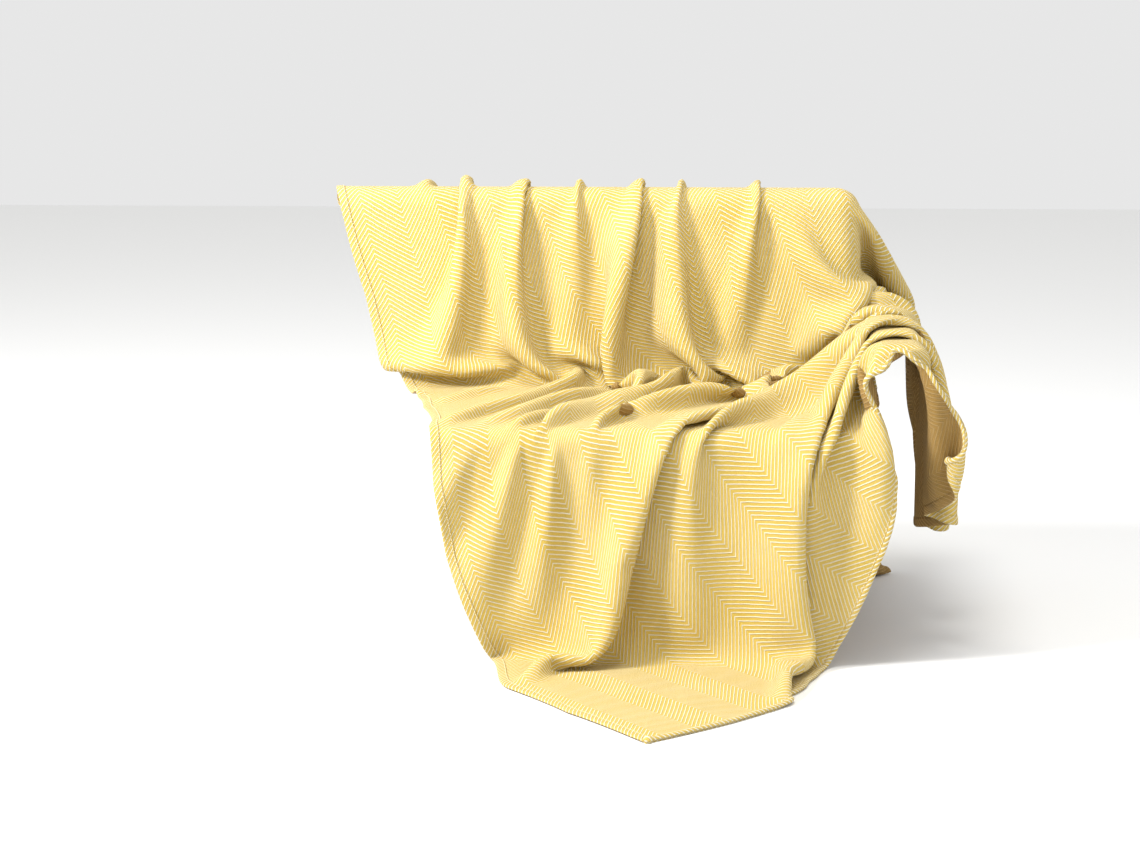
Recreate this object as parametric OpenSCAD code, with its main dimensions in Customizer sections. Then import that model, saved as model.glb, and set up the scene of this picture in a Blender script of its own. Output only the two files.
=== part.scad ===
// A woven cotton throw lying over a two-seat sofa: front corner on the floor, up over the
// seat and the backrest, down behind, and over one arm at the right. The sofa is not part of it.
// Origin: the underside of the cloth on the seat, at the middle of the seat's depth.
// +X points to the right as seen from the front, +Y to the back, +Z up.

/* [Throw] */
// Width of the flat throw, across the woven columns
throw_width = 1780; // [1740:10:1840]
// Length of the flat throw, along the woven columns
throw_length = 2540; // [2500:10:2600]
// Thickness of the cloth with its raised cords
cloth_t = 4; // [3:0.5:5]
// Width of the folded hem along the two long sides
side_hem_w = 20; // [16:1:24]
// Thickness of the folded hem along the two long sides
side_hem_t = 6; // [5:0.5:7]
// Diameter of the rolled hem along the two ends
end_hem_d = 11; // [9:1:13]
// Diameter of the sewing thread
thread_d = 1.6; // [1.2:0.2:2]

/* [Furniture under it] */
// Height of the seat above the floor
seat_height = 475; // [450:5:500]
// Depth of the seat
seat_depth = 560; // [530:5:590]
// Half of the clear width between the arms
half_seat = 615; // [600:5:630]
// Height of the backrest above the seat
back_height = 440; // [420:5:460]
// How far the backrest leans back over its height
back_lean = 100; // [80:5:120]
// Thickness of the backrest at its top
back_thickness = 160; // [140:5:180]
// Height of the arm above the seat
arm_height = 180; // [165:5:195]
// Width of the arm
arm_width = 110; // [100:5:120]

/* [Lay] */
// How far the front corner lies on the floor in front of the seat
floor_reach = 640; // [600:5:680]
// Gap between the hanging cloth and the front of the sofa
front_gap = 20; // [10:5:30]
// Height of the folds down the front
front_fold = 36; // [20:1:45]
// Height of the folds down the backrest
back_fold = 34; // [20:1:40]

/* [Hidden] */

cloth_colour = [0.93, 0.80, 0.45];
hem_colour = [0.88, 0.72, 0.34];
thread_colour = [0.97, 0.94, 0.84];

// Depths and heights of the surfaces that the cloth lies on
front_y = -seat_depth / 2 - front_gap;
tip_y = -seat_depth / 2 - floor_reach;
seat_back_y = seat_depth / 2;
top_front_y = seat_back_y + back_lean;
top_rear_y = top_front_y + back_thickness;
rear_y = top_rear_y + 14;

// Lengths of cloth that are left for the rear and for the flap outside the arm
rear_drop_left = throw_length - 2410;
rear_drop_right = rear_drop_left + 340;
flap_drop = throw_width - 1565;

// Radii of the bends in the lay
floor_bend = 40;
edge_bend = 60;
crook_bend = 60;
top_bend = 40;
arm_bend = 30;

// ---- Points along a bent line ----

// Unit vector from a to b, and distance between them
function unit(a, b) = (b - a) / norm(b - a);

// Points of the arc that rounds the corner b between a and c with radius r, in n steps
function corner_arc(a, b, c, r, n) =
    let (
        back = unit(b, a),
        ahead = unit(b, c),
        half = acos(back * ahead) / 2,
        centre = b + unit([0, 0], back + ahead) * r / sin(half),
        start = b + back * r / tan(half),
        finish = b + ahead * r / tan(half)
    )
    [for (i = [0:n])
        let (chord = start + (finish - start) * (0.5 - cos(180 * i / n) / 2))
        centre + unit(centre, chord) * r];

// Points from a to b in n steps, without b
function straight(a, b, n) = [for (i = [0:n - 1]) a + (b - a) * i / n];

// Distances along a list of points
function distances(points, i = 0, sum = 0) =
    i == len(points) ? [] : concat([sum],
        distances(points, i + 1, i + 1 < len(points) ? sum + norm(points[i + 1] - points[i]) : sum));

// Smooth step from 0 at a to 1 at b
function ease(a, b, x) =
    let (t = min(1, max(0, (x - a) / (b - a))))
    t * t * (3 - 2 * t);

function mix(a, b, t) = a + (b - a) * t;

// ---- Side view of the lay: [y, z] from the corner on the floor to the rear hem ----

side_corners = [
    [tip_y, -seat_height], [front_y, -seat_height], [front_y, 0], [seat_back_y, 0],
    [top_front_y, back_height], [top_rear_y, back_height], [rear_y + 1, back_height - rear_drop_right]
];
side_radii = [floor_bend, edge_bend, crook_bend, top_bend, top_bend];
run_steps = [7, 6, 6, 8, 2, 6];
bend_steps = [4, 12, 6, 4, 4];
bends = [for (i = [0:4])
    corner_arc(side_corners[i], side_corners[i + 1], side_corners[i + 2], side_radii[i], bend_steps[i])];
run_starts = concat([side_corners[0]], [for (i = [0:4]) bends[i][bend_steps[i]]]);
run_ends = concat([for (i = [0:4]) bends[i][0]], [side_corners[6]]);
side_line = concat(
    [for (i = [0:5]) each concat(
        straight(run_starts[i], run_ends[i], run_steps[i]),
        i < 5 ? [for (k = [0:bend_steps[i] - 1]) bends[i][k]] : [run_ends[5]]
    )]
);
station = distances(side_line);
rows = len(station);

y_along = [for (i = [0:rows - 1]) [station[i], side_line[i][0]]];
z_along = [for (i = [0:rows - 1]) [station[i], side_line[i][1]]];

// Stations of the named places: the middle of each bend, and the end
function sum_to(list, n) = n < 0 ? 0 : list[n] + sum_to(list, n - 1);
function bend_station(i) = station[sum_to(run_steps, i) + sum_to(bend_steps, i - 1) + bend_steps[i] / 2];
s_floor = bend_station(0);
s_edge = bend_station(1);
s_crook = bend_station(2);
s_top = bend_station(3);
s_rear = bend_station(4);
s_end = station[rows - 1];

// ---- View across the lay: [x, rise] over the arm, and [x, depth] round the backrest ----

arm_corners = [
    [-800, 0], [half_seat, 0], [half_seat, arm_height],
    [half_seat + arm_width + 20, arm_height], [half_seat + arm_width + 55, -260]
];
arm_line = concat(
    [arm_corners[0]],
    corner_arc(arm_corners[0], arm_corners[1], arm_corners[2], arm_bend, 4),
    corner_arc(arm_corners[1], arm_corners[2], arm_corners[3], arm_bend, 4),
    corner_arc(arm_corners[2], arm_corners[3], arm_corners[4], arm_bend, 4),
    [arm_corners[4]]
);
arm_span = distances(arm_line);
arm_x = [for (i = [0:len(arm_line) - 1]) [arm_span[i] - 800, arm_line[i][0]]];
arm_rise = [for (i = [0:len(arm_line) - 1]) [arm_span[i] - 800, arm_line[i][1]]];

side_x = half_seat + 25;
round_corners = [[-800, 0], [side_x, 0], [side_x, 400]];
round_line = concat(
    [round_corners[0]],
    corner_arc(round_corners[0], round_corners[1], round_corners[2], top_bend, 5),
    [round_corners[2]]
);
round_span = distances(round_line);
round_x = [for (i = [0:len(round_line) - 1]) [round_span[i] - 800, round_line[i][0]]];
round_depth = [for (i = [0:len(round_line) - 1]) [round_span[i] - 800, round_line[i][1]]];

// ---- Where the two long edges of the lay run, as distances across it ----

over_arm = half_seat + arm_height + arm_width;
left_edge = [
    [0, 150], [0.4 * s_floor, 0], [0.62 * s_floor, -110], [s_floor, -170], [s_edge, -285],
    [s_crook, -390], [s_top, -535], [s_end, -560]
];
right_edge = [
    [0, 190], [150, 320], [350, 430], [s_floor - 40, 510], [s_floor + 100, 575],
    [s_floor + 200, 625], [s_floor + 330, 650], [s_edge - 60, 670],
    [s_edge + 50, over_arm + flap_drop], [s_edge + 180, over_arm + flap_drop + 150],
    [s_crook - 100, over_arm + flap_drop + 100], [s_crook + 40, over_arm + flap_drop - 90],
    [s_crook + 180, half_seat + 250], [s_top - 100, half_seat + 160], [s_top - 10, half_seat + 90],
    [s_top + 60, half_seat - 5],
    [s_end, half_seat - 15]
];

// ---- Folds: each has its place across the lay and its height, by station ----

function front_ridge(x_edge, x_floor, size) = [
    [[s_floor, x_floor], [s_edge, x_edge]],
    [[s_floor - 60, 0], [s_floor + 90, size * front_fold], [s_edge - 60, size * front_fold],
        [s_edge + 40, 0]],
    70
];
function back_ridge(x_crook, x_top, size) = [
    [[s_crook, x_crook], [s_top, x_top]],
    [[s_crook + 20, 0], [s_crook + 110, 0.6 * size * back_fold], [s_top - 20, size * back_fold],
        [s_rear + 40, 0.5 * size * back_fold], [s_end, 0.2 * size * back_fold]],
    60
];
ridges = [
    front_ridge(-120, -60, 0.8), front_ridge(50, 30, 0.8), front_ridge(160, 150, 1),
    front_ridge(420, 290, 1), back_ridge(-200, -320, 0.7), back_ridge(-60, -200, 1),
    back_ridge(90, -50, 0.9), back_ridge(160, 120, 1), back_ridge(250, 260, 0.7),
    back_ridge(380, 410, 0.8)
];

// Height of one fold, and of all of them, at distance w across and station s
function bump(t) = abs(t) < 1 ? (1 + cos(180 * t)) / 2 : 0;
function fold(w, s, r) = lookup(s, r[1]) * bump((w - lookup(s, r[0])) / r[2]);
function all_folds(w, s, i = 0) =
    i == len(ridges) ? 0 : fold(w, s, ridges[i]) + all_folds(w, s, i + 1);

// ---- The lay itself: the underside of the cloth at distance w across and station s ----

function rear_station(w, s) =
    s < s_rear ? s
    : s_rear + (s - s_rear) * mix(rear_drop_left, rear_drop_right, ease(-560, half_seat, w))
        / rear_drop_right;

function flat_lay(w, s) = [w, lookup(s, y_along), lookup(s, z_along)];

function over_arm_lay(w, s) =
    let (z = lookup(s, z_along), rise = lookup(w, arm_rise))
    [lookup(w, arm_x), lookup(s, y_along), z <= 0 ? z + rise
        : rise > 0 ? mix(z, max(z, arm_height), rise / arm_height) : z + rise];

function round_back_lay(w, s) =
    [lookup(w, round_x), lookup(s, y_along) + lookup(w, round_depth), lookup(s, z_along)];

function bare_lay(w, s) =
    let (
        z = lookup(s, z_along),
        on_arm = ease(s_edge - 160, s_edge - 60, s),
        on_back = ease(arm_height - 40, arm_height + 90, s < s_crook ? 0 : z)
    )
    mix(mix(flat_lay(w, s), over_arm_lay(w, s), on_arm), round_back_lay(w, s), on_back);

function outward(w, s) =
    let (
        across = bare_lay(w + 4, s) - bare_lay(w - 4, s),
        up = bare_lay(w, min(s + 4, s_end)) - bare_lay(w, max(s - 4, 0)),
        n = cross(across, up)
    )
    n / norm(n);

function lay(w, s) =
    let (
        t = rear_station(w, s),
        folds = all_folds(w, t)
    )
    folds == 0 ? bare_lay(w, t) : bare_lay(w, t) + outward(w, t) * folds;

// ---- The grid of the panel ----

across_steps = 32;
function left_w(s) = lookup(s, left_edge);
function right_w(s) = lookup(s, right_edge);
function panel_w(a, s) = mix(left_w(s), right_w(s), a);

under = [for (j = [0:rows - 1]) [for (i = [0:across_steps])
    lay(panel_w(i / across_steps, station[j]), station[j])]];

// Direction square to the cloth at a point of the grid
function grid_normal(g, j, i) =
    let (
        across = g[j][min(i + 1, across_steps)] - g[j][max(i - 1, 0)],
        up = g[min(j + 1, rows - 1)][i] - g[max(j - 1, 0)][i],
        n = cross(across, up)
    )
    n / norm(n);
normals = [for (j = [0:rows - 1]) [for (i = [0:across_steps]) grid_normal(under, j, i)]];
over = [for (j = [0:rows - 1]) [for (i = [0:across_steps]) under[j][i] + normals[j][i] * cloth_t]];

// ---- The panel's edges: lists of [point under, normal, point on top] ----

function grid_point(j, i) = [under[j][i], normals[j][i], over[j][i]];

last = rows - 1;
corner_row = min([for (j = [0:last]) if (station[j] > s_edge + 30) j]);
left_rim = [for (j = [0:last]) grid_point(j, 0)];
front_rim = concat([grid_point(0, 0)], [for (j = [0:corner_row]) grid_point(j, across_steps)]);
right_rim = [for (j = [corner_row:last]) grid_point(j, across_steps)];
rear_rim = [for (i = [0:across_steps]) grid_point(last, i)];

// Direction along a rim at point k, and the direction away from the panel there
function along(rim, k) =
    rim[min(k + 1, len(rim) - 1)][0] - rim[max(k - 1, 0)][0];
function away(rim, k, side) =
    let (n = cross(along(rim, k), rim[k][1]) * side)
    n / norm(n);

// ---- Solids ----

// Closed skin through rings of points, with flat ends
module skin(rings, flip) {
    m = len(rings);
    n = len(rings[0]);
    sides = [for (j = [0:m - 2]) for (i = [0:n - 1])
        let (a = j * n + i, b = j * n + (i + 1) % n)
        each [[a, b, b + n], [a, b + n, a + n]]];
    ends = [[for (i = [0:n - 1]) n - 1 - i], [for (i = [0:n - 1]) (m - 1) * n + i]];
    faces = concat(sides, ends);
    polyhedron(
        points = [for (ring = rings) for (p = ring) p],
        faces = flip ? [for (f = faces) [for (i = [len(f) - 1:-1:0]) f[i]]] : faces
    );
}

// A hem swept along a rim. Its section is a list of [distance away, height]; the first and
// last corners of the section are the two edges of the panel.
module hem(rim, section, side) {
    skin([for (k = [0:len(rim) - 1]) concat(
        [rim[k][0]],
        [for (p = section) rim[k][0] + away(rim, k, side) * p[0] + rim[k][1] * p[1]],
        [rim[k][2]]
    )], side < 0);
}

// A line of stitching that runs on the panel, just inside a rim
stitch_inset = 4;
stitch_lift = 0.8;
module stitching(rim, side) {
    r = thread_d / 2;
    skin([for (k = [1:len(rim) - 2])
        let (centre = rim[k][2] - away(rim, k, side) * stitch_inset + rim[k][1] * (stitch_lift + r))
        [for (q = [[r, 0], [0, r], [-r, 0], [0, -r]])
            centre + away(rim, k, side) * q[0] + rim[k][1] * q[1]]
    ], side < 0);
}

// Sections of the hems: a folded band, and a roll
band = [
    [side_hem_w - 2, 0], [side_hem_w, side_hem_t / 2], [side_hem_w - 2, side_hem_t],
    [5, side_hem_t]
];
roll = [for (p = [[0.25, 0], [0.72, 0], [1, 0.28], [1, 0.72], [0.72, 1], [0.3, 1], [0.08, 0.75]])
    p * end_hem_d];

// Closed skin between two grids of the same size, the first below the second
module slab(low, high) {
    m = len(low);
    n = len(low[0]);
    count = m * n;
    polyhedron(
        points = [for (g = [low, high]) for (line = g) for (p = line) p],
        faces = [
            for (j = [0:m - 2]) for (i = [0:n - 2])
                let (a = j * n + i)
                each [
                    [a, a + 1, a + n + 1], [a, a + n + 1, a + n],
                    [count + a, count + a + n + 1, count + a + 1],
                    [count + a, count + a + n, count + a + n + 1]
                ],
            for (j = [0:m - 2]) for (i = [0, n - 1])
                let (a = j * n + i, b = a + n)
                each i == 0 ? [[a, b, count + b], [a, count + b, count + a]]
                    : [[a, count + b, b], [a, count + a, count + b]],
            for (i = [0:n - 2]) for (j = [0, m - 1])
                let (a = j * n + i, b = a + 1)
                each j == 0 ? [[a, count + b, b], [a, count + a, count + b]]
                    : [[a, b, count + b], [a, count + b, count + a]]
        ]
    );
}

// ---- One module for each piece ----

module woven_panel() {
    color(cloth_colour) slab(under, over);
}
module side_hem_left() {
    color(hem_colour) hem(left_rim, band, -1);
}
module side_hem_right() {
    color(hem_colour) hem(right_rim, band, 1);
}
module end_hem_front() {
    color(hem_colour) hem(front_rim, roll, 1);
}
module end_hem_rear() {
    color(hem_colour) hem(rear_rim, roll, -1);
}
module hem_thread_left() {
    color(thread_colour) stitching(left_rim, -1);
}
module hem_thread_right() {
    color(thread_colour) stitching(right_rim, 1);
}
module hem_thread_front() {
    color(thread_colour) stitching(front_rim, 1);
}
module hem_thread_rear() {
    color(thread_colour) stitching(rear_rim, -1);
}

woven_panel();
side_hem_left();
side_hem_right();
end_hem_front();
end_hem_rear();
hem_thread_left();
hem_thread_right();
hem_thread_front();
hem_thread_rear();
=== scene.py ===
"""A woven cotton throw lying over a two-seat sofa that isn't shown.

The cloth starts folded along the lines where it lies in folds, then falls onto the sofa's
seat, backrest and arm in a small cloth solver. Hems and stitches are built on the result.
"""
import math

import bpy
import numpy as np
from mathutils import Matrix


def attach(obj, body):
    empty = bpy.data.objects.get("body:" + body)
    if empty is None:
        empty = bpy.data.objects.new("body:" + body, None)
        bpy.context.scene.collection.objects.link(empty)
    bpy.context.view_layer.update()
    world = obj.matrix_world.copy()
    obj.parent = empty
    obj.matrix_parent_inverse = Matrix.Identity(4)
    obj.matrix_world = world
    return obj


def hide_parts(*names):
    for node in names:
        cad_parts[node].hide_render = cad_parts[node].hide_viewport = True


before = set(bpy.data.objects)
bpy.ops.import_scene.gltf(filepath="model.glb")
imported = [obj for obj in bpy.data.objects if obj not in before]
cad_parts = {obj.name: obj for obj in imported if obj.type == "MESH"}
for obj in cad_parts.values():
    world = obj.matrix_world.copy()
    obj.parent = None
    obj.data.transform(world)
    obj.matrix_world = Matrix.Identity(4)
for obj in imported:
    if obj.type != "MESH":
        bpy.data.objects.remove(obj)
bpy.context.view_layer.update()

# ---- Sizes, in metres ----
FLAT_W, FLAT_L = 1.78, 2.54          # the flat throw: across and along its columns
COLUMN_W = 0.083                     # one column of the chevron
FIRST_COLUMN = 0.048                 # from the side hem's outer edge to the first column line
STRIPE = 0.0114                      # one cord and one band, along a column
CLOTH_T = 0.0035
SIDE_HEM_W, SIDE_HEM_T = 0.020, 0.0065
END_HEM_D = 0.011
GRID = (120, 171)                    # points across and along

# The solver works from the floor up and from the front of the seat back
SEAT_H, SEAT_D = 0.475, 0.56
TO_PART = np.array([0, -SEAT_D / 2, -SEAT_H])


# ---- The lay: distances across (w) and along (s) the sofa's surface ----
def rounded(points, reach, start):
    """A polyline sampled every 5 mm and smoothed over the reach; distances begin at start."""
    step = 0.005
    points = np.array(points, float)
    at = np.r_[0, np.cumsum(np.hypot(*np.diff(points, axis=0).T))]
    t = np.arange(0, at[-1] + step, step)
    line = np.c_[np.interp(t, at, points[:, 0]), np.interp(t, at, points[:, 1])]
    n = int(reach / step)
    kernel = np.hanning(2 * n + 3)[1:-1]
    kernel /= kernel.sum()
    padded = np.vstack([2 * line[0] - line[n:0:-1], line, 2 * line[-1] - line[-2:-n - 2:-1]])
    smooth = np.c_[np.convolve(padded[:, 0], kernel, "valid"),
                   np.convolve(padded[:, 1], kernel, "valid")]
    return t + start, smooth


# The sofa's surface: (y, z) up its side, (x, rise) over its arm, (x, depth) round its end
SIDE = rounded([(-0.73, 0), (-0.03, 0), (-0.03, 0.48), (0.565, 0.48), (0.665, 0.92),
                (0.84, 0.92), (0.85, -0.4)], 0.04, -0.70)
ARM = rounded([(-1, 0), (0.615, 0), (0.615, 0.185), (0.735, 0.185), (0.79, -0.02), (0.74, -0.6)],
              0.03, -1)
BACK_END = rounded([(-1, 0), (0.65, 0), (0.65, 1)], 0.05, -1)


def along(line, t):
    """The two coordinates of a rounded line at the distance t."""
    return np.interp(t, line[0], line[1][:, 0]), np.interp(t, line[0], line[1][:, 1])


def ease(a, b, x):
    """From 0 at a to 1 at b, with a smooth start and end."""
    t = np.clip((x - a) / (b - a), 0, 1)
    return t * t * (3 - 2 * t)


def lay(w, s):
    """The point at w across and s along: on the floor, seat and back, over the arm, and
    round the end of the backrest."""
    y, z = along(SIDE, s)
    flat = np.stack([w, y, z], -1)
    x_arm, rise = along(ARM, w)
    high = np.where(z <= SEAT_H, z + rise,
                    np.where(rise > 0, np.maximum(z, 0.48 + rise), z + rise))
    over_arm = np.stack([x_arm, y, high], -1)
    x_end, depth = along(BACK_END, w)
    round_end = np.stack([x_end, y + depth, z], -1)
    a = ease(0.40, 0.475, s)[..., None]
    b = ease(0.62, 0.72, z)[..., None] * (s > 1.0)[..., None]
    return (flat * (1 - a) + over_arm * a) * (1 - b) + round_end * b


# ---- Folds in the lay ----
# Folds that run up the cloth: (s, w) of the base, (s, cloth taken up), lean to the right
UP_FOLDS = [
    ([(0, -.10), (.2, -.11), (.475, -.127), (.8, -.145), (1.0, -.16), (1.18, -.21),
      (1.3, -.235), (1.53, -.25)],
     [(0, 0), (.2, .015), (.475, .055), (.8, .05), (1.0, .06), (1.3, .06), (1.53, .08),
      (1.8, .05)], 0.3),
    ([(1.4, -.31), (1.53, -.322)], [(1.38, 0), (1.53, .03), (1.8, .01)], 0),
    ([(0, .05), (.475, .085), (.8, .065), (1.075, .04), (1.17, -.013), (1.37, -.097),
      (1.53, -.158)],
     [(0, 0), (.25, .01), (.475, .035), (.8, .04), (1.1, .07), (1.3, .07), (1.53, .06),
      (1.8, .04)], 0.5),
    ([(1.4, -.09), (1.53, -.10)], [(1.36, 0), (1.53, .025), (1.8, .01)], 0),
    ([(.8, .10), (1.05, .082), (1.21, .033), (1.32, .004), (1.53, -.03)],
     [(.8, 0), (1.0, .02), (1.15, .05), (1.3, .05), (1.53, .04), (1.8, .03)], 0.4),
    ([(0, .05), (.14, .07), (.33, .123), (.475, .15), (.8, .142), (1.0, .132), (1.2, .108),
      (1.41, .106), (1.53, .132)],
     [(0, 0), (.1, .02), (.2, .045), (.35, .09), (.475, .14), (.8, .12), (1.0, .10),
      (1.3, .09), (1.53, .09), (1.8, .06)], -0.2),
    ([(1.2, .21), (1.45, .20), (1.53, .172)], [(1.2, 0), (1.3, .01), (1.53, .03), (1.8, .01)], 0),
    ([(1.4, .275), (1.53, .275)], [(1.38, 0), (1.53, .03), (1.8, .01)], 0),
    ([(.6, .25), (.95, .26), (1.17, .29), (1.31, .308), (1.53, .345)],
     [(.6, 0), (.8, .02), (.95, .05), (1.1, .08), (1.3, .09), (1.53, .08), (1.8, .05)], 0.3),
    ([(0, .33), (.2, .335), (.4, .335), (.6, .33), (.755, .35), (.93, .40), (1.03, .43),
      (1.1, .42), (1.19, .385), (1.25, .33)],
     [(0, 0), (.1, .02), (.2, .06), (.3, .12), (.4, .20), (.475, .25), (.7, .24), (.9, .16),
      (1.0, .11), (1.1, .06), (1.2, .02), (1.25, 0)], 0.6),
]
# Folds that run across it: s of the base, (flattened w, cloth taken up), lean to the back
CROSS_FOLDS = [
    (0.66, [(.95, 0), (1.05, .08), (1.2, .07), (1.35, .05), (1.75, .05)], -0.6),
    (0.88, [(1.15, 0), (1.25, .05), (1.75, .05)], -0.6),
]
FOLD_BASE = 0.010                    # half of the opening at a fold's foot
FOLD_SHARE = 0.97                    # of a fold's lean that is taken off its height
START_GAP = 0.006                    # between the sofa's surface and the folded start

# Where marked points of the cloth lie: (u, v, w, s), u across and v along the flat cloth
SIDE_HEM_LAY = [
    (0, 0, .167, -.613), (0, .25, .02, -.42), (0, .48, -.116, -.223), (0, .73, -.173, 0),
    (0, .94, -.253, .19), (0, 1.085, -.272, .336), (0, 1.22, -.286, .468), (0, 1.48, -.32, .755),
    (0, 1.69, -.355, .96), (0, 1.80, -.395, 1.09), (0, 2.01, -.457, 1.29), (0, 2.18, -.503, 1.447),
    (0, 2.27, -.538, 1.531), (0, 2.54, -.42, 1.75),
]
END_HEM_LAY = [
    (.223, 0, .335, -.466), (.442, 0, .433, -.27), (.583, 0, .478, -.136), (.69, 0, .508, -.046),
    (.76, 0, .551, .046), (.92, 0, .621, .202), (1.07, 0, .659, .347), (1.19, 0, .643, .446),
    (1.24, 0, .625, .50), (1.30, 0, .67, .50), (1.37, 0, .74, .51), (1.44, 0, .82, .505),
    (1.51, 0, .90, .505), (1.62, 0, 1.015, .52), (1.78, 0, 1.155, .54), (1.78, .22, 1.31, .655),
]
FRONT_LAY = [
    (.048, 1.16, -.232, .47), (.131, 1.11, -.154, .47), (.214, 1.05, -.109, .47),
    (.297, .97, -.038, .47), (.38, .88, .055, .47), (.463, .81, .111, .47), (.546, .72, .15, .47),
    (.629, .68, .18, .47), (.712, .60, .283, .47), (.795, .50, .374, .47),
    (1.04, .26, .446, .47), (1.12, .10, .596, .47),
    (.048, .90, -.212, .22), (.214, .80, -.04, .22), (.38, .65, .10, .25), (.463, .54, .174, .236),
    (.546, .41, .295, .221), (.629, .46, .31, .332), (.712, .40, .40, .357), (.88, .21, .42, .265),
    (.96, .235, .434, .37),
]
OUTER_LAY = [
    (1.30, .45, .80, .80), (1.45, .35, 1.02, .70), (1.45, .75, 1.10, .90),
    (1.40, 1.20, .80, 1.08), (1.60, .60, 1.25, .85), (1.78, .45, 1.45, .80),
    (1.78, .75, 1.45, 1.05), (1.78, 1.1, 1.25, 1.22), (1.10, .50, .52, .70), (1.15, .95, .58, .95),
]
# Marked points on the backrest: s of each row, (w of its points)
BACK_ROWS = [
    (1.10, (-.28, -.10, .07, .20, .35, .50)), (1.30, (-.33, -.15, .05, .25, .45, .60)),
    (1.53, (-.40, -.20, 0, .20, .40, .58, .90)), (1.90, (-.20, .10, .35, .55)),
]
BACK_LEAN = math.radians(27)         # how far the columns lean left on the backrest


def table(points, x):
    """The value at x of a line through the points."""
    points = np.array(points)
    return np.interp(x, points[:, 0], points[:, 1])


def flatten(w, s):
    """The place (w, s) once every fold to its left and in front is pulled flat."""
    t = w.copy()
    for line, taken, lean in UP_FOLDS:
        size = table(taken, s)
        t += size * (w > table(line, s) + lean * size / 2)
    q = s.copy()
    for base, taken, _ in CROSS_FOLDS:
        q += table(taken, t) * (s > base)
    return t, q


def loop(x, taken, lean):
    """One fold seen from its end: how far it pulls the cloth back, and how high it stands."""
    span = taken + 2 * FOLD_BASE
    crest = lean * taken / 2
    top = np.sqrt(np.maximum((span / 2) ** 2 - FOLD_SHARE * (FOLD_BASE + crest) ** 2, 0))
    q = x + FOLD_BASE
    rise = -FOLD_BASE + (FOLD_BASE + crest) * q / (span / 2)
    fall = crest + (FOLD_BASE - crest) * (q - span / 2) / (span / 2)
    place = np.where(q < 0, x, np.where(q < span / 2, rise, np.where(q < span, fall, x - taken)))
    height = top * np.clip(1 - np.abs(q - span / 2) / (span / 2), 0, None) * (taken > 1e-4)
    return x - place, height


def fold_up(t, q):
    """The reverse of flatten: the place (w, s) and the height of the fold there."""
    s, height, used = q.copy(), np.zeros_like(q), np.zeros_like(q)
    for base, taken, lean in CROSS_FOLDS:
        size = table(taken, t)
        pulled, up = loop(q - (base + used), size, lean)
        s -= pulled
        height += up
        used += size
    lines = np.array([table(line, s) for line, _, _ in UP_FOLDS])
    sizes = np.array([table(taken, s) for _, taken, _ in UP_FOLDS])
    w = t.copy()
    for k, (_, _, lean) in enumerate(UP_FOLDS):
        left = ((lines < lines[k]) * sizes).sum(0)
        pulled, up = loop(t - (lines[k] + left), sizes[k], lean)
        w -= pulled
        height += up
    return w, s, height


def back_lay():
    """Marked points on the backrest, where the columns lean together."""
    _, v0, w0, s0 = SIDE_HEM_LAY[-2]
    marks = []
    for s, places in BACK_ROWS:
        w = np.array(places)
        s = np.full_like(w, s)
        t, q = flatten(w, s)
        u = (t - w0) * math.cos(BACK_LEAN) + (q - s0) * math.sin(BACK_LEAN)
        v = v0 - (t - w0) * math.sin(BACK_LEAN) + (q - s0) * math.cos(BACK_LEAN)
        marks += [m for m in zip(u, v, w, s) if 0.03 < m[0] < FLAT_W and m[1] < FLAT_L]
    return marks


def thin_plate(points, values, wanted):
    """Smooth interpolation of values at points, for the wanted points."""
    def kernel(a, b):
        r2 = ((a[:, None] - b[None]) ** 2).sum(-1)
        return 0.5 * r2 * np.log(r2 + 1e-12)
    softness = 1e-4                  # how far the surface may miss a point
    n = len(points)
    m = np.zeros((n + 3, n + 3))
    m[:n, :n] = kernel(points, points) + softness * np.eye(n)
    m[:n, n] = 1
    m[:n, n + 1:] = points
    m[n:, :n] = m[:n, n:].T
    c = np.linalg.solve(m, np.r_[values, np.zeros((3, 2))])
    return np.vstack([kernel(k, points) @ c[:n] + c[n] + k @ c[n + 1:]
                      for k in np.array_split(wanted, 8)])


def folded_start(flat, marks):
    """The cloth laid along its marks with its folds standing."""
    t, q = flatten(marks[:, 2], marks[:, 3])
    tq = thin_plate(marks[:, :2], np.c_[t, q], flat.reshape(-1, 2)).reshape(flat.shape)
    w, s, height = fold_up(tq[..., 0], tq[..., 1])
    e = 1e-3
    normal = np.cross(lay(w + e, s) - lay(w - e, s), lay(w, s + e) - lay(w, s - e))
    normal /= np.linalg.norm(normal, axis=-1, keepdims=True) + 1e-12
    return lay(w, s) + normal * (height[..., None] + START_GAP)


# ---- The sofa as distances and normals ----
def rounded_box(p, low, high, r):
    """Distances to a box with rounded edges, and the ways out of it."""
    centre = (np.array(low) + high) / 2
    half = (np.array(high) - low) / 2 - r
    q = p - centre
    a = np.abs(q) - half
    m = np.maximum(a, 0)
    out = np.sqrt((m * m).sum(-1))
    distance = out + np.minimum(a.max(-1), 0) - r
    side = np.eye(3)[a.argmax(-1)]
    normal = np.where((out > 1e-9)[..., None], m / np.maximum(out, 1e-9)[..., None], side)
    return distance, normal * np.sign(q)


# Low corner, high corner and edge radius; the backrest's from its foot, before its tilt
SEAT_BOX = (-.64, -.01, .18), (.64, .80, SEAT_H), .03
ARM_BOX = (.625, 0, .18), (.735, .80, .648), .03
BACK_BOX = (-.65, 0, -.30), (.625, .165, .448), .05
BACK_TILT = math.atan2(0.10, 0.44)
CORNER_FILL = 0.06                   # rounding where seat, arm, back and floor meet
FREE_SPACE = (0.81, 0.885, 2)        # the cloth stays left of, in front of and below these


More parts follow.
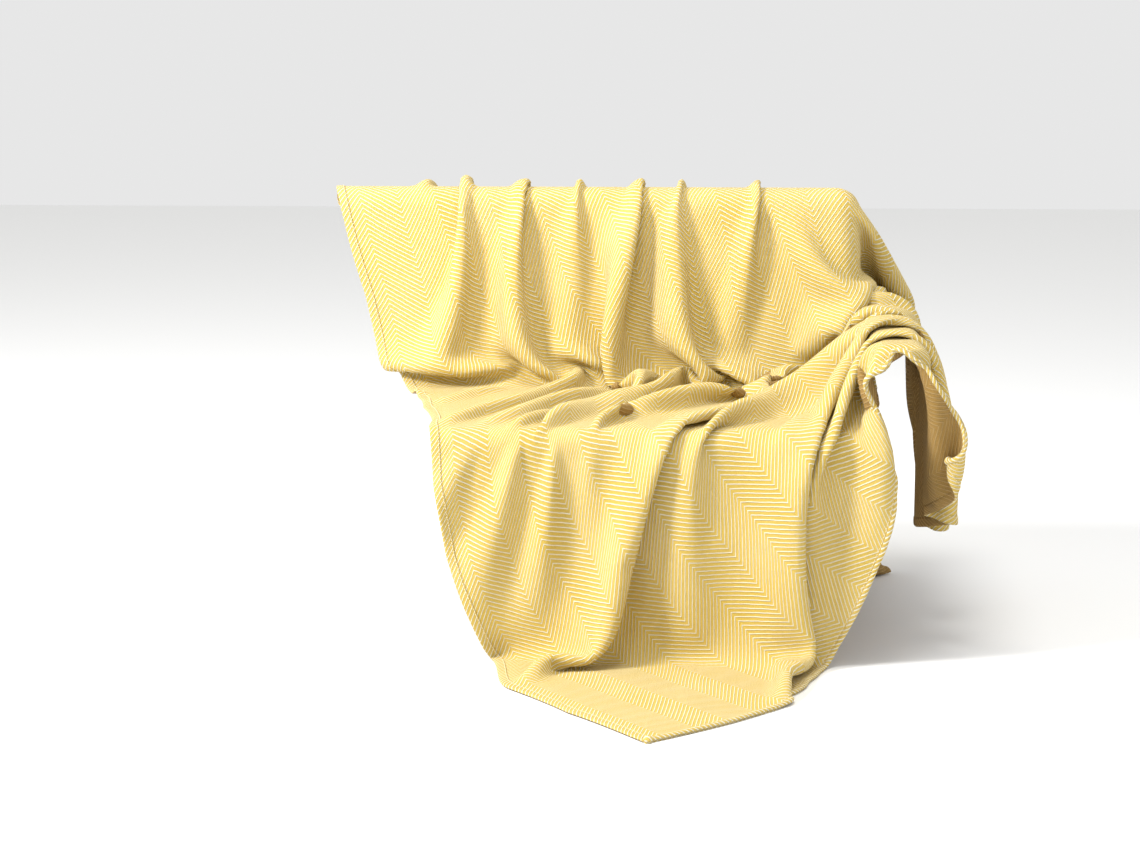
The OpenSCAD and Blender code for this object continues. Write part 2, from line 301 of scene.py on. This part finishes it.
def turn(p, angle):
    """Points or normals turned about the x axis."""
    c, s = math.cos(angle), math.sin(angle)
    return np.stack([p[..., 0], p[..., 1] * c - p[..., 2] * s, p[..., 1] * s + p[..., 2] * c], -1)


def sofa(p):
    """Distance to the nearest of seat, arm, backrest and floor, and the way out of it."""
    foot = np.array([0, SEAT_D, SEAT_H])
    back, back_n = rounded_box(turn(p - foot, BACK_TILT), *BACK_BOX)
    solids = [
        rounded_box(p, *SEAT_BOX),
        rounded_box(p, *ARM_BOX),
        (back, turn(back_n, -BACK_TILT)),
        (p[..., 2], np.broadcast_to([0, 0, 1.0], p.shape)),
    ]
    distance, normal = solids[0]
    for d, n in solids[1:]:
        share = np.clip(0.5 + (distance - d) / CORNER_FILL / 2, 0, 1)
        distance = distance + (d - distance) * share - CORNER_FILL * share * (1 - share)
        normal = normal + (n - normal) * share[..., None]
    return distance, normal / np.linalg.norm(normal, axis=-1, keepdims=True)


# ---- The cloth solver ----
STEP_TIME = 0.0025                   # seconds
FASTEST = 0.004                      # how far a point may move in one step
PAIRS_EVERY = 10                     # steps between two searches for near pairs
PAIR_REACH, PAIR_APART = 1.25, 2.2   # in layers: near in space, far on the flat cloth


def pull(a, b, rest, k):
    """Move the points a and b towards their rest distance."""
    d = b - a
    length = np.sqrt(np.einsum("...k,...k", d, d))
    c = 1 - rest / np.maximum(length, 1e-9)
    c *= 0.5 * k
    d *= c[..., None]
    a += d
    b -= d


def hold_shape(p, h_u, h_v, shear, stiffness):
    """One pass of bending, shear and stretch over the grid."""
    for q in (p, p.swapaxes(0, 1)):
        curve = q[2:] + q[:-2] - 2 * q[1:-1]
        q[1:-1] += 0.5 * stiffness * curve
        curve *= 0.25 * stiffness
        q[:-2] -= curve
        q[2:] -= curve
    nv, nu = p.shape[:2]
    diagonal = math.hypot(h_u, h_v)
    for k in (0, 1):
        n = (nv - k) // 2
        a, b = p[k:k + 2 * n:2], p[k + 1:k + 2 * n:2]
        pull(a[:, :-1], b[:, 1:], diagonal, shear)
        pull(a[:, 1:], b[:, :-1], diagonal, shear)
    for k in (0, 1):
        n = (nu - k) // 2
        pull(p[:, k:k + 2 * n:2], p[:, k + 1:k + 2 * n:2], h_u, 1)
        n = (nv - k) // 2
        pull(p[k:k + 2 * n:2], p[k + 1:k + 2 * n:2], h_v, 1)


def near_pairs(p, flat, reach, apart):
    """Pairs of points closer than reach that are further apart than `apart` on the flat cloth."""
    cell = np.floor(p / reach).astype(np.int64)
    cell -= cell.min(0) - 1
    n = cell.max(0) + 3
    key = (cell[:, 0] * n[1] + cell[:, 1]) * n[2] + cell[:, 2]
    order = np.argsort(key, kind="stable")
    key = key[order]
    found = []

    def keep(i, j):
        m = ((flat[i] - flat[j]) ** 2).sum(1) > apart * apart
        i, j = i[m], j[m]
        m = ((p[i] - p[j]) ** 2).sum(1) < reach * reach
        found.append(np.stack([i[m], j[m]]))

    k = 1
    while (same := key[k:] == key[:-k]).any():
        keep(order[:-k][same], order[k:][same])
        k += 1
    steps = [(a, b, c) for a in (-1, 0, 1) for b in (-1, 0, 1) for c in (-1, 0, 1)]
    for a, b, c in steps[14:]:       # the half of the 27 cells after a point's own
        other = key + (a * n[1] + b) * n[2] + c
        first = np.searchsorted(key, other, "left")
        count = np.searchsorted(key, other, "right") - first
        for k in range(count.max(initial=0)):
            m = count > k
            keep(order[m], order[first[m] + k])
    return np.concatenate(found, 1)


def push_apart(p, pairs, reach):
    """Move the pairs closer than reach away from each other."""
    i, j = pairs
    d = p[i] - p[j]
    length = np.sqrt((d * d).sum(1))
    m = length < reach
    i, j, d, length = i[m], j[m], d[m], length[m]
    d *= (0.5 * (reach - length) / np.maximum(length, 1e-9))[:, None]
    both = np.r_[i, j]
    share = np.maximum(1 / np.maximum(np.bincount(both, minlength=len(p)), 1), 0.5)
    for a in range(3):
        p[:, a] += share * np.bincount(both, np.r_[d[:, a], -d[:, a]], len(p))


def settle(p, old, flat, steps, marks, grip, gravity, damping, friction,
           stiffness=0.1, shear=0.08, layer=0.012, clearance=0.004):
    """Let the cloth fall for some steps; marks are (rows, columns, places, weights)."""
    h_u, h_v = flat[0, 1, 0], flat[1, 0, 1]
    rows, columns, places, weights = marks
    for step in range(steps):
        move = (p - old) * damping
        speed = np.sqrt((move * move).sum(-1, keepdims=True))
        move *= np.minimum(1, FASTEST / np.maximum(speed, 1e-9))
        old = p.copy()
        p = p + move
        p[..., 2] -= gravity * STEP_TIME ** 2
        hold = np.interp(step, [0, steps - 1], grip) * weights[:, None]
        p[rows, columns] += hold * (places - p[rows, columns])
        hold_shape(p, h_u, h_v, shear, stiffness)
        hold_shape(p, h_u, h_v, shear, 0)
        if step % PAIRS_EVERY == 0:
            pairs = near_pairs(p.reshape(-1, 3), flat.reshape(-1, 2),
                               layer * PAIR_REACH, layer * PAIR_APART)
        push_apart(p.reshape(-1, 3), pairs, layer)
        distance, normal = sofa(p)
        inside = distance < clearance
        n = normal[inside]
        depth = (clearance - distance[inside])[:, None]
        q = p[inside] + n * depth
        slide = q - old[inside]
        slide -= (slide * n).sum(1, keepdims=True) * n
        length = np.sqrt((slide * slide).sum(1, keepdims=True))
        p[inside] = q - slide * np.minimum(1, friction * depth / np.maximum(length, 1e-9))
        np.minimum(p, FREE_SPACE, out=p)
    return p, old


def drape():
    """The flat cloth's grid and the same grid once draped: first gently, then at full weight."""
    nu, nv = GRID
    flat = np.stack(np.meshgrid(np.linspace(0, FLAT_W, nu), np.linspace(0, FLAT_L, nv)), -1)
    groups = [(SIDE_HEM_LAY, 1), (END_HEM_LAY, 1), (FRONT_LAY, 0.6), (OUTER_LAY, 0.1),
              (back_lay(), 0.1)]
    marks = np.array([m for group, _ in groups for m in group])
    weights = np.concatenate([np.full(len(group), weight) for group, weight in groups])
    rows = np.round(marks[:, 1] / FLAT_L * (nv - 1)).astype(int)
    columns = np.round(marks[:, 0] / FLAT_W * (nu - 1)).astype(int)
    held = (rows, columns, lay(marks[:, 2], marks[:, 3]), weights)
    p = folded_start(flat, marks)
    first, second = ((200, 600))
    p, old = settle(p, p.copy(), flat, first, held, grip=(0.3, 0.2), gravity=2,
                    damping=0.80, friction=0.5)
    p, _ = settle(p, old, flat, second, held, grip=(0.2, 0.05), gravity=9.81,
                  damping=0.97, friction=0.8)
    return flat, p + TO_PART


# ---- Finer grid and points on the cloth ----
def refine(a):
    """Twice as many points each way, on a smooth curve through the old ones."""
    for _ in range(2):
        ends = np.concatenate([2 * a[:1] - a[1:2], a, 2 * a[-1:] - a[-2:-1]])
        middle = (9 * (ends[1:-2] + ends[2:-1]) - ends[:-3] - ends[3:]) / 16
        out = np.empty((2 * len(a) - 1,) + a.shape[1:])
        out[::2] = a
        out[1::2] = middle
        a = out.swapaxes(0, 1)
    return a


def normals_of(p):
    """The normal at each point of a grid."""
    n = np.cross(np.gradient(p, axis=1), np.gradient(p, axis=0))
    return n / (np.linalg.norm(n, axis=-1, keepdims=True) + 1e-12)


class Cloth:
    """Points and normals at any place (u, v) of the draped cloth."""

    def __init__(self, p):
        self.p = p
        self.n = normals_of(p)
        self.size = np.array([p.shape[1] - 1, p.shape[0] - 1])

    def at(self, u, v):
        place = np.stack([u / FLAT_W * self.size[0], v / FLAT_L * self.size[1]], -1)
        cell = np.clip(np.floor(place).astype(int), 0, self.size - 1)
        f = place - cell
        i, j = cell[..., 0], cell[..., 1]
        fu, fv = f[..., 0, None], f[..., 1, None]
        out = []
        for a in (self.p, self.n):
            out.append((a[j, i] * (1 - fu) + a[j, i + 1] * fu) * (1 - fv)
                       + (a[j + 1, i] * (1 - fu) + a[j + 1, i + 1] * fu) * fv)
        n = out[1] / (np.linalg.norm(out[1], axis=-1, keepdims=True) + 1e-12)
        return out[0], n


# ---- Meshes ----
def grid_faces(rows, columns, closed=False):
    """Quads of a grid of points; closed joins the last column to the first."""
    j, i = np.meshgrid(np.arange(rows - 1), np.arange(columns if closed else columns - 1),
                       indexing="ij")
    k = (i + 1) % columns
    return np.stack([j * columns + i, j * columns + k, (j + 1) * columns + k,
                     (j + 1) * columns + i], -1).reshape(-1, 4)


def mesh_piece(name, points, faces, places, material, second=None, second_faces=None):
    """A smooth mesh whose UV map holds each point's place in metres."""
    mesh = bpy.data.meshes.new(name)
    mesh.vertices.add(len(points))
    mesh.vertices.foreach_set("co", np.asarray(points, np.float32).ravel())
    mesh.loops.add(faces.size)
    mesh.loops.foreach_set("vertex_index", faces.astype(np.int32).ravel())
    mesh.polygons.add(len(faces))
    mesh.polygons.foreach_set("loop_start", np.arange(0, faces.size, 4, dtype=np.int32))
    mesh.materials.append(material)
    if second is not None:
        mesh.materials.append(second)
        index = np.zeros(len(faces), np.int32)
        index[second_faces] = 1
        mesh.polygons.foreach_set("material_index", index)
    mesh.update(calc_edges=True)
    mesh.validate()
    layer = mesh.uv_layers.new(name="cloth")
    layer.data.foreach_set("uv", np.asarray(places, np.float32)[faces.ravel()].ravel())
    mesh.polygons.foreach_set("use_smooth", np.ones(len(faces), bool))
    piece = bpy.data.objects.new(name, mesh)
    bpy.context.scene.collection.objects.link(piece)
    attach(piece, "root")
    return piece


def thick_sheet(name, p, n, places, thickness, material, reverse):
    """A closed sheet of cloth with its face above, its reverse below and rims between."""
    rows, columns = p.shape[:2]
    count = rows * columns
    faces = grid_faces(rows, columns)
    top = p + n * (thickness / 2)
    low = p - n * (thickness / 2)
    j, i = np.arange(rows), np.arange(columns)
    rim = np.concatenate([i, j[1:] * columns + columns - 1, (rows - 1) * columns + i[-2::-1],
                          j[-2:0:-1] * columns])
    after = np.roll(rim, -1)
    rims = np.stack([rim + count, after + count, after, rim], -1)
    all_faces = np.concatenate([faces, faces[:, ::-1] + count, rims])
    under = np.arange(len(faces), 2 * len(faces))
    return mesh_piece(name, np.concatenate([top.reshape(-1, 3), low.reshape(-1, 3)]), all_faces,
                      np.tile(places.reshape(-1, 2), (2, 1)), material, reverse, under)


def rope(name, centre, out, up, radius, places, material, sides=12):
    """A round hem along a line of points, closed to a point at both ends."""
    angle = np.arange(sides) * 2 * math.pi / sides
    ring = (centre[:, None] + out[:, None] * (np.cos(angle)[None, :, None] * radius[:, None, None])
            + up[:, None] * (np.sin(angle)[None, :, None] * radius[:, None, None]))
    turn_at = angle[None] * END_HEM_D / 2
    uv = np.stack(np.broadcast_arrays(places[:, None], turn_at), -1)
    faces = grid_faces(len(centre), sides, closed=True)
    return mesh_piece(name, ring.reshape(-1, 3), faces, uv.reshape(-1, 2), material)


def stitches(name, cloth, u, v, lift, along_u, length, radius, material):
    """Short stitches of thread lying on the cloth at the places (u, v)."""
    sides, rings = 6, 5
    k = np.linspace(-1, 1, rings)
    du, dv = (length / 2, 0) if along_u else (0, length / 2)
    p, n = cloth.at(u[:, None] + du * k, v[:, None] + dv * k)
    bow = lift + radius * 0.9 * (1 - k * k)
    centre = p + n * bow[None, :, None]
    tangent = np.gradient(centre, axis=1)
    tangent /= np.linalg.norm(tangent, axis=-1, keepdims=True)
    side = np.cross(tangent, n)
    angle = np.arange(sides) * 2 * math.pi / sides
    size = radius * np.sqrt(np.clip(1.04 - k * k, 0, 1))
    ring = (centre[:, :, None] + side[:, :, None] * (np.cos(angle) * size[:, None])[None, ..., None]
            + n[:, :, None] * (np.sin(angle) * size[:, None])[None, ..., None])
    one = grid_faces(rings, sides, closed=True)
    caps = np.array([[3, 2, 1, 0], [5, 4, 3, 0], [0, 1, 2, 3], [0, 3, 4, 5]])
    caps[2:] += (rings - 1) * sides
    one = np.concatenate([one, caps])
    count = rings * sides
    faces = (one[None] + np.arange(len(u))[:, None, None] * count).reshape(-1, 4)
    uv = np.tile(np.stack(np.meshgrid(angle, k), -1).reshape(-1, 2), (len(u), 1))
    return mesh_piece(name, ring.reshape(-1, 3), faces, uv, material)


# ---- Materials ----
class Nodes:
    """A material's node tree with short calls for what the fabrics share."""

    def __init__(self, name):
        self.material = bpy.data.materials.new(name)
        self.material.use_nodes = True
        self.tree = self.material.node_tree
        self.shader = self.tree.nodes["Principled BSDF"]

    def new(self, kind, **settings):
        node = self.tree.nodes.new(kind)
        for key, value in settings.items():
            setattr(node, key, value)
        return node

    def link(self, source, target):
        self.tree.links.new(source, target)

    def math(self, operation, *values):
        node = self.new("ShaderNodeMath", operation=operation)
        for socket, value in zip(node.inputs, values):
            if isinstance(value, (int, float)):
                socket.default_value = value
            else:
                self.link(value, socket)
        return node.outputs[0]

    def wave(self, source, rate):
        """A sine wave between 0 and 1."""
        sine = self.math("SINE", self.math("MULTIPLY", source, rate))
        return self.math("ADD", self.math("MULTIPLY", sine, 0.5), 0.5)

    def ramp(self, source, stops, interpolation="LINEAR"):
        node = self.new("ShaderNodeValToRGB")
        node.color_ramp.interpolation = interpolation
        while len(node.color_ramp.elements) < len(stops):
            node.color_ramp.elements.new(0.5)
        for element, (place, value) in zip(node.color_ramp.elements, stops):
            element.position = place
            element.color = (*value, 1) if isinstance(value, tuple) else (value, value, value, 1)
        self.link(source, node.inputs[0])
        return node.outputs[0]

    def mix(self, factor, a, b, blend="MIX"):
        node = self.new("ShaderNodeMix", data_type="RGBA", blend_type=blend)
        for socket, value in ((node.inputs[0], factor), (node.inputs[6], a), (node.inputs[7], b)):
            if isinstance(value, (int, float)):
                socket.default_value = value
            elif isinstance(value, tuple):
                socket.default_value = (*value, 1)
            else:
                self.link(value, socket)
        return node.outputs[2]

    def noise(self, vector, scale, detail=2.0):
        node = self.new("ShaderNodeTexNoise")
        node.inputs["Scale"].default_value = scale
        node.inputs["Detail"].default_value = detail
        self.link(vector, node.inputs["Vector"])
        return node.outputs["Fac"]

    def place(self):
        uv = self.new("ShaderNodeUVMap", uv_map="cloth")
        split = self.new("ShaderNodeSeparateXYZ")
        self.link(uv.outputs[0], split.inputs[0])
        return uv.outputs[0], split.outputs[0], split.outputs[1]

    def finish(self, colour, height, depth, rough=0.95, sheen=0.04):
        self.link(colour, self.shader.inputs["Base Color"])
        bump = self.new("ShaderNodeBump")
        bump.inputs["Strength"].default_value = 1.0
        bump.inputs["Distance"].default_value = depth
        self.link(height, bump.inputs["Height"])
        self.link(bump.outputs[0], self.shader.inputs["Normal"])
        self.shader.inputs["Roughness"].default_value = rough
        self.shader.inputs["Sheen Weight"].default_value = sheen
        self.shader.inputs["Sheen Roughness"].default_value = 0.5
        self.shader.inputs["Specular IOR Level"].default_value = 0.2
        return self.material


CORD = (0.93, 0.89, 0.74)
BAND = (0.80, 0.58, 0.10)
BAND_DEEP = (0.42, 0.26, 0.02)
YARN = 0.0024                        # twist length of a cord; a weft yarn is about half
WOBBLE = 0.0022                      # how far a stripe wanders
RELIEF = 0.0022                      # height of the cords in the bump


def fabric(name, chevron=True, band=BAND, deep=BAND_DEEP, cord=CORD, cord_part=0.32):
    """Pale cords on mustard bands: in a chevron on the sheet, on one slant on a rolled hem."""
    m = Nodes(name)
    uv, x, y = m.place()
    if chevron:
        slant = m.math("PINGPONG", m.math("SUBTRACT", x, FIRST_COLUMN - 4 * COLUMN_W), COLUMN_W)
        run, cross = y, slant
    else:
        run, cross = x, y
    wobble = m.math("MULTIPLY", m.math("SUBTRACT", m.noise(uv, 60), 0.5), WOBBLE)
    phase = m.math("DIVIDE", m.math("ADD", m.math("ADD", run, cross), wobble), STRIPE)
    stripe = m.math("FRACT", phase)
    other = m.math("SUBTRACT", run, cross)
    twist = m.wave(other, 2 * math.pi / YARN)
    weft = m.wave(other, 4.2 * math.pi / YARN)
    is_cord = m.ramp(stripe, [(0, 0.0), (0.05, 1.0), (cord_part - 0.05, 1.0), (cord_part, 0.0)])
    round_cord = m.ramp(stripe, [(0, 0.0), (cord_part * 0.25, 0.8), (cord_part * 0.5, 1.0),
                                 (cord_part * 0.75, 0.8), (cord_part, 0.0)], "B_SPLINE")
    fibres = m.noise(uv, 900, 4.0)
    patch = m.noise(uv, 7, 3.0)
    band_colour = m.mix(m.ramp(fibres, [(0.3, 0.0), (0.7, 1.0)]), deep, band)
    band_colour = m.mix(m.math("MULTIPLY", weft, 0.08), band_colour, cord)
    cord_colour = m.mix(m.math("MULTIPLY", twist, 0.22), cord, band)
    colour = m.mix(is_cord, band_colour, cord_colour)
    colour = m.mix(m.ramp(patch, [(0.35, 0.0), (0.75, 0.06)]), colour, cord)
    height = m.math("ADD", m.math("MULTIPLY", round_cord, 1.0),
                    m.math("ADD", m.math("MULTIPLY", m.math("MULTIPLY", twist, is_cord), 0.25),
                           m.math("ADD", m.math("MULTIPLY", weft, 0.15),
                                  m.math("MULTIPLY", fibres, 0.3))))
    return m.finish(colour, height, RELIEF)


def reverse_fabric():
    """The reverse: the same yarns in a fine mottled twill, with the face's raised cords."""
    return fabric("weave_reverse", band=(0.46, 0.28, 0.07), deep=(0.20, 0.11, 0.03),
                  cord=(0.56, 0.38, 0.16), cord_part=0.30)


def thread_material():
    """Pale cotton thread."""
    m = Nodes("sewing_thread")
    uv, _, _ = m.place()
    fibres = m.noise(uv, 6, 2.0)
    colour = m.mix(fibres, (0.80, 0.66, 0.36), (0.90, 0.80, 0.55))
    return m.finish(colour, fibres, 0.0003, rough=0.7)


# ---- Hems ----
STITCH_STEP, STITCH_LENGTH, THREAD_R = 0.0062, 0.0046, 0.0007
KNOB_RISE, KNOB_AT, KNOB_REACH = 0.55, 0.009, 0.008      # thickening near a rolled hem's ends


def side_hem(side, edge, cloth, hem_cloth, reverse, thread):
    """A long edge folded over and crowned, with stitches along its inner edge."""
    inward = 1 if edge == 0 else -1
    across = np.linspace(0, SIDE_HEM_W, 7)
    u, v = np.meshgrid(edge + inward * across, np.linspace(0.002, FLAT_L - 0.002, 680))
    p, n = cloth.at(u, v)
    crown = np.sin(np.clip(across / SIDE_HEM_W, 0, 1) * math.pi) ** 0.4
    if inward < 0:
        p, n, u, v, crown = p[:, ::-1], n[:, ::-1], u[:, ::-1], v[:, ::-1], crown[::-1]
    hem = thick_sheet(side + "_side_hem", p, n * (0.62 + 0.38 * crown)[None, :, None],
                      np.stack([u, v], -1), SIDE_HEM_T, hem_cloth, reverse)
    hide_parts("side_hem_" + side)
    stitch_v = np.arange(0.02, FLAT_L - 0.02, STITCH_STEP)
    sewn = stitches(side + "_hem_stitches", cloth,
                    np.full_like(stitch_v, edge + inward * (SIDE_HEM_W - 0.0035)), stitch_v,
                    SIDE_HEM_T * 0.46, False, STITCH_LENGTH, THREAD_R, thread)
    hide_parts("hem_thread_" + side)
    return [hem, sewn]


def end_hem(end, edge, cloth, roll_cloth, thread):
    """A short edge rolled into a slightly uneven cord, with a row of stitches beside it."""
    inward = 1 if edge == 0 else -1
    u_line = np.linspace(0, FLAT_W, 700)
    p, n = cloth.at(u_line, np.full_like(u_line, edge + inward * 0.002))
    q, _ = cloth.at(u_line, np.full_like(u_line, edge + inward * 0.02))
    out = p - q
    out -= (out * n).sum(1, keepdims=True) * n
    out /= np.linalg.norm(out, axis=1, keepdims=True)
    to_end = np.minimum(u_line, FLAT_W - u_line)
    knob = 1 + KNOB_RISE * np.exp(-((to_end - KNOB_AT) / KNOB_REACH) ** 2)
    uneven = 1 + 0.05 * np.sin(u_line * 47) + 0.04 * np.sin(u_line * 131 + 1)
    radius = END_HEM_D / 2 * knob * uneven * np.sqrt(np.clip(to_end / 0.004, 0.001, 1))
    hem = rope(end + "_end_hem", p, out * inward, n, radius, u_line, roll_cloth)
    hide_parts("end_hem_" + end)
    stitch_u = np.arange(0.03, FLAT_W - 0.03, STITCH_STEP)
    sewn = stitches(end + "_hem_stitches", cloth, stitch_u,
                    np.full_like(stitch_u, edge + inward * (END_HEM_D / 2 + 0.005)),
                    CLOTH_T * 0.42, True, STITCH_LENGTH, THREAD_R, thread)
    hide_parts("hem_thread_" + end)
    return [hem, sewn]


# ---- Make the throw ----
flat, draped = drape()
fine = refine(draped)
fine_uv = refine(flat)
cloth = Cloth(fine)
weave = fabric("weave_chevron")
reverse = reverse_fabric()
hem_cloth = fabric("side_hem_chevron", band=(0.76, 0.55, 0.10), deep=(0.40, 0.25, 0.02))
roll_cloth = fabric("end_hem_stripes", chevron=False, cord_part=0.42)
thread = thread_material()

inside = slice(2, -2)                # the panel's edges end inside the side hems
panel = thick_sheet("throw_panel", fine[:, inside], cloth.n[:, inside], fine_uv[:, inside],
                    CLOTH_T, weave, reverse)
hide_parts("woven_panel")

hem_pieces = []
for side, edge in (("left", 0.0), ("right", FLAT_W)):
    hem_pieces += side_hem(side, edge, cloth, hem_cloth, reverse, thread)
for end, edge in (("front", 0.0), ("rear", FLAT_L)):
    hem_pieces += end_hem(end, edge, cloth, roll_cloth, thread)

# ---- Floor, light and camera ----
FLOOR_REACH, FLOOR_GAP = 9, 0.001
WORLD_LIGHT = 0.8
AIM = (0.1, 0, 0)                    # where the lights point
# Name, place, disk size and watts
LIGHTS = [("key", (-3.4, -1.8, 3.0), 1.2, 330), ("fill", (2.6, -3.6, 1.6), 3.0, 25),
          ("top", (0.0, -0.8, 3.6), 1.6, 80)]
SENSOR_W, FOCAL_LENGTH = 36, 97.9    # millimetres
AZIMUTH, PITCH, DISTANCE, EYE_H = math.radians(2.3), math.radians(9.8), 6.2, 1.555
CAMERA_X = 0.012

floor_mesh = bpy.data.meshes.new("floor")
floor_mesh.from_pydata([(x * FLOOR_REACH, y * FLOOR_REACH, -SEAT_H - FLOOR_GAP) for x, y in
                        ((-1, -1), (1, -1), (1, 1), (-1, 1))], [], [(0, 1, 2, 3)])
floor = bpy.data.objects.new("floor", floor_mesh)
bpy.context.scene.collection.objects.link(floor)
floor_paint = bpy.data.materials.new("pale_floor")
floor_paint.use_nodes = True
paint = floor_paint.node_tree.nodes["Principled BSDF"]
paint.inputs["Base Color"].default_value = (0.86, 0.86, 0.85, 1)
paint.inputs["Roughness"].default_value = 0.8
floor_mesh.materials.append(floor_paint)


def area_light(name, place, size, power):
    """A round lamp that points at AIM."""
    data = bpy.data.lights.new(name, "AREA")
    data.shape = "DISK"
    data.size = size
    data.energy = power
    lamp = bpy.data.objects.new(name, data)
    bpy.context.scene.collection.objects.link(lamp)
    lamp.location = place
    way = np.array(AIM) - place
    way = way / np.linalg.norm(way)
    pitch = math.acos(-way[2])
    lamp.rotation_euler = (pitch, 0, math.atan2(-way[0], way[1]))


for light in LIGHTS:
    area_light(*light)
world = bpy.data.worlds.new("studio")
world.use_nodes = True
world.node_tree.nodes["Background"].inputs[0].default_value = (1, 1, 1, 1)
world.node_tree.nodes["Background"].inputs[1].default_value = WORLD_LIGHT
bpy.context.scene.world = world
bpy.context.scene.view_settings.view_transform = "Standard"

lens = bpy.data.cameras.new("camera")
lens.sensor_width = SENSOR_W
lens.lens = FOCAL_LENGTH
camera = bpy.data.objects.new("camera", lens)
bpy.context.scene.collection.objects.link(camera)
camera.location = np.array([CAMERA_X + math.sin(AZIMUTH) * DISTANCE, -math.cos(AZIMUTH) * DISTANCE,
                            EYE_H]) + TO_PART
camera.rotation_euler = (math.pi / 2 - PITCH, 0, AZIMUTH)
bpy.context.scene.camera = camera
